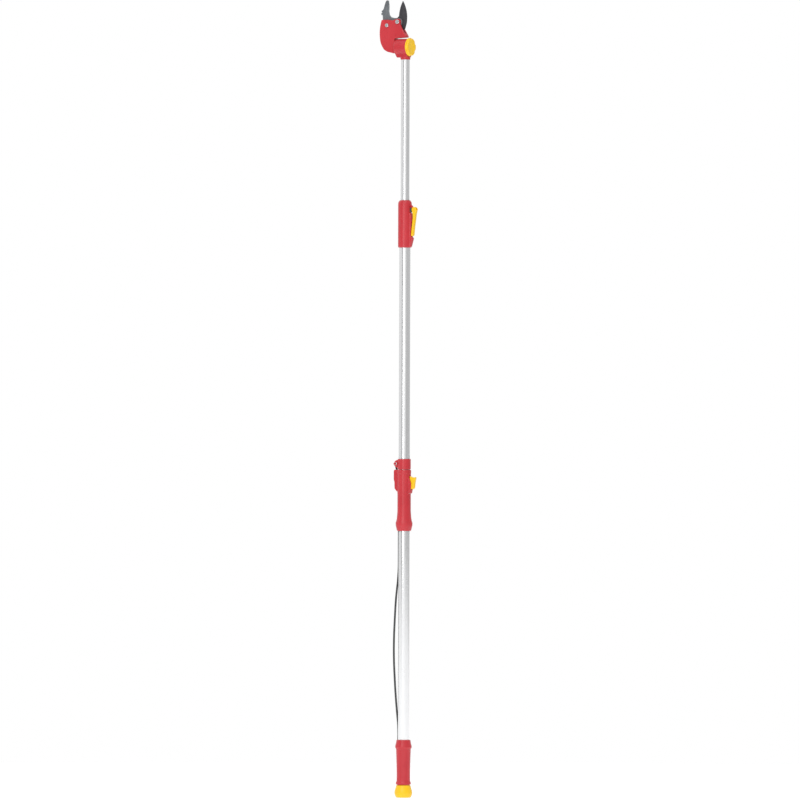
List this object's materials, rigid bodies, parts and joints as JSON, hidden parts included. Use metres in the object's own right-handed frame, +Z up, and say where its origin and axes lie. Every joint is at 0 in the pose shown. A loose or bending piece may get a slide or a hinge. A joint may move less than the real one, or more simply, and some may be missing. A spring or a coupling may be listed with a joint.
{
  "type": "telescopic pole pruner",
  "caption": "Long-reach telescopic pole pruner: bypass hook and blade on a swivel head, tube clamp lever, sliding pull handle with strap, end knob.",
  "frame": {"origin": "centre of the end knob's flat bottom, on the pole's axis", "axes": "+Z up the pole to the cutting head; +X to the swivel knob, clamp lever and trigger; -X to the hook and the strap; +Y to the back of the blades"},
  "size_m": [0.121, 0.053, 2.297],
  "materials": {
    "red_plastic": "semi-gloss moulded red plastic",
    "yellow_plastic": "semi-gloss moulded yellow plastic",
    "aluminium_tube": "satin anodised drawn tube",
    "steel": "zinc plated",
    "blade_coating": "dark non-stick coating",
    "hook_coating": "grey coating",
    "strap": "flat woven black polyester webbing",
    "grey_plastic": "moulded acetal"
  },
  "bodies": {
    "pole": {"outer_tube": "aluminium_tube", "pole_bush": "grey_plastic", "lower_grip": "red_plastic", "stop_collar": "red_plastic", "collar_screw": "steel", "collar_nut": "steel", "clamp_body": "red_plastic", "clamp_shoe": "grey_plastic", "lever_pin": "steel", "lower_strap": "strap", "upper_strap": "strap", "return_strap": "strap"},
    "strap_roller": {"strap_roller": "grey_plastic"},
    "end_knob": {"end_knob": "yellow_plastic", "knob_stem": "aluminium_tube", "knob_pin": "steel"},
    "handle": {"handle_front": "red_plastic", "handle_rear": "red_plastic", "handle_screw_1": "steel", "handle_screw_2": "steel", "handle_screw_3": "steel", "handle_screw_4": "steel", "trigger_pin": "steel", "trigger_spring": "steel"},
    "trigger": {"trigger": "yellow_plastic"},
    "strap_jaw": {"strap_jaw": "grey_plastic"},
    "clamp_lever": {"clamp_lever": "yellow_plastic"},
    "inner_pole": {"inner_tube": "aluminium_tube", "inner_tube_plug": "grey_plastic", "pole_strap": "strap", "swivel_bracket": "red_plastic", "bracket_screw": "steel", "swivel_washer": "steel"},
    "head": {"housing_front": "red_plastic", "housing_rear": "red_plastic", "counter_blade": "hook_coating", "pivot_bolt": "steel", "pivot_nut": "steel", "housing_screw": "steel", "housing_nut": "steel", "blade_spring": "steel", "fixed_pulley_pin": "steel", "swivel_bolt": "steel", "head_strap": "strap"},
    "swivel_knob": {"swivel_knob": "yellow_plastic", "knob_insert": "steel"},
    "blade": {"cutting_blade": "blade_coating", "tackle_pin": "steel"},
    "tackle_pulley": {"tackle_pulley": "grey_plastic"},
    "fixed_pulley": {"fixed_pulley": "grey_plastic"}
  },
  "joints": [
    {"name": "pole_extend", "type": "slide", "parent": "pole", "child": "inner_pole", "axis": [0, 0, 1], "range_m": [0, 1.2]},
    {"name": "clamp_lever_turn", "type": "hinge", "parent": "pole", "child": "clamp_lever", "pos_m": [0.031, 0, 1.692], "axis": [0, -1, 0], "range_deg": [0, 110]},
    {"name": "handle_slide", "type": "slide", "parent": "pole", "child": "handle", "axis": [0, 0, -1], "range_m": [0, 0.12], "stiffness_N_per_m": 40, "springref_m": -0.2, "deforming": ["lower_strap"]},
    {"name": "trigger_tip", "type": "hinge", "parent": "handle", "child": "trigger", "pos_m": [0.022, 0, 0.9], "axis": [0, 1, 0], "range_deg": [0, 15], "stiffness_Nm_per_rad": 0.1, "springref_deg": -17.19},
    {"name": "strap_jaw_slide", "type": "slide", "parent": "handle", "child": "strap_jaw", "axis": [-1, 0, 0], "range_m": [0, 0.0015]},
    {"name": "strap_roller_spin", "type": "hinge", "parent": "pole", "child": "strap_roller", "pos_m": [-0.0222, 0, 0.961], "axis": [0, -1, 0], "range_deg": [0, 1500]},
    {"name": "end_knob_pull", "type": "slide", "parent": "pole", "child": "end_knob", "axis": [0, 0, -1], "range_m": [0, 0.12]},
    {"name": "head_swivel", "type": "hinge", "parent": "inner_pole", "child": "head", "pos_m": [0, 0, 2.161], "axis": [1, 0, 0], "range_deg": [-112.5, 112.5]},
    {"name": "swivel_knob_turn", "type": "hinge", "parent": "head", "child": "swivel_knob", "pos_m": [0.016, 0, 2.161], "axis": [1, 0, 0], "range_deg": [0, 360]},
    {"name": "blade_close", "type": "hinge", "parent": "head", "child": "blade", "pos_m": [-0.0214, 0, 2.234], "axis": [0, -1, 0], "range_deg": [0, 42.5]},
    {"name": "tackle_pulley_spin", "type": "hinge", "parent": "blade", "child": "tackle_pulley", "pos_m": [-0.0536, 0.0054, 2.2139], "axis": [0, -1, 0], "range_deg": [0, 900]},
    {"name": "fixed_pulley_spin", "type": "hinge", "parent": "head", "child": "fixed_pulley", "pos_m": [-0.058, 0, 2.167], "axis": [0, 1, 0], "range_deg": [0, 900]}
  ],
  "couplings": [
    {"joint": "blade_close", "follows": "handle_slide", "rad_per_m": 6.109},
    {"joint": "tackle_pulley_spin", "follows": "handle_slide", "rad_per_m": 120},
    {"joint": "fixed_pulley_spin", "follows": "handle_slide", "rad_per_m": 120},
    {"joint": "strap_roller_spin", "follows": "handle_slide", "rad_per_m": 210},
    {"joint": "strap_jaw_slide", "follows": "trigger_tip", "m_per_rad": 0.0057}
  ]
}
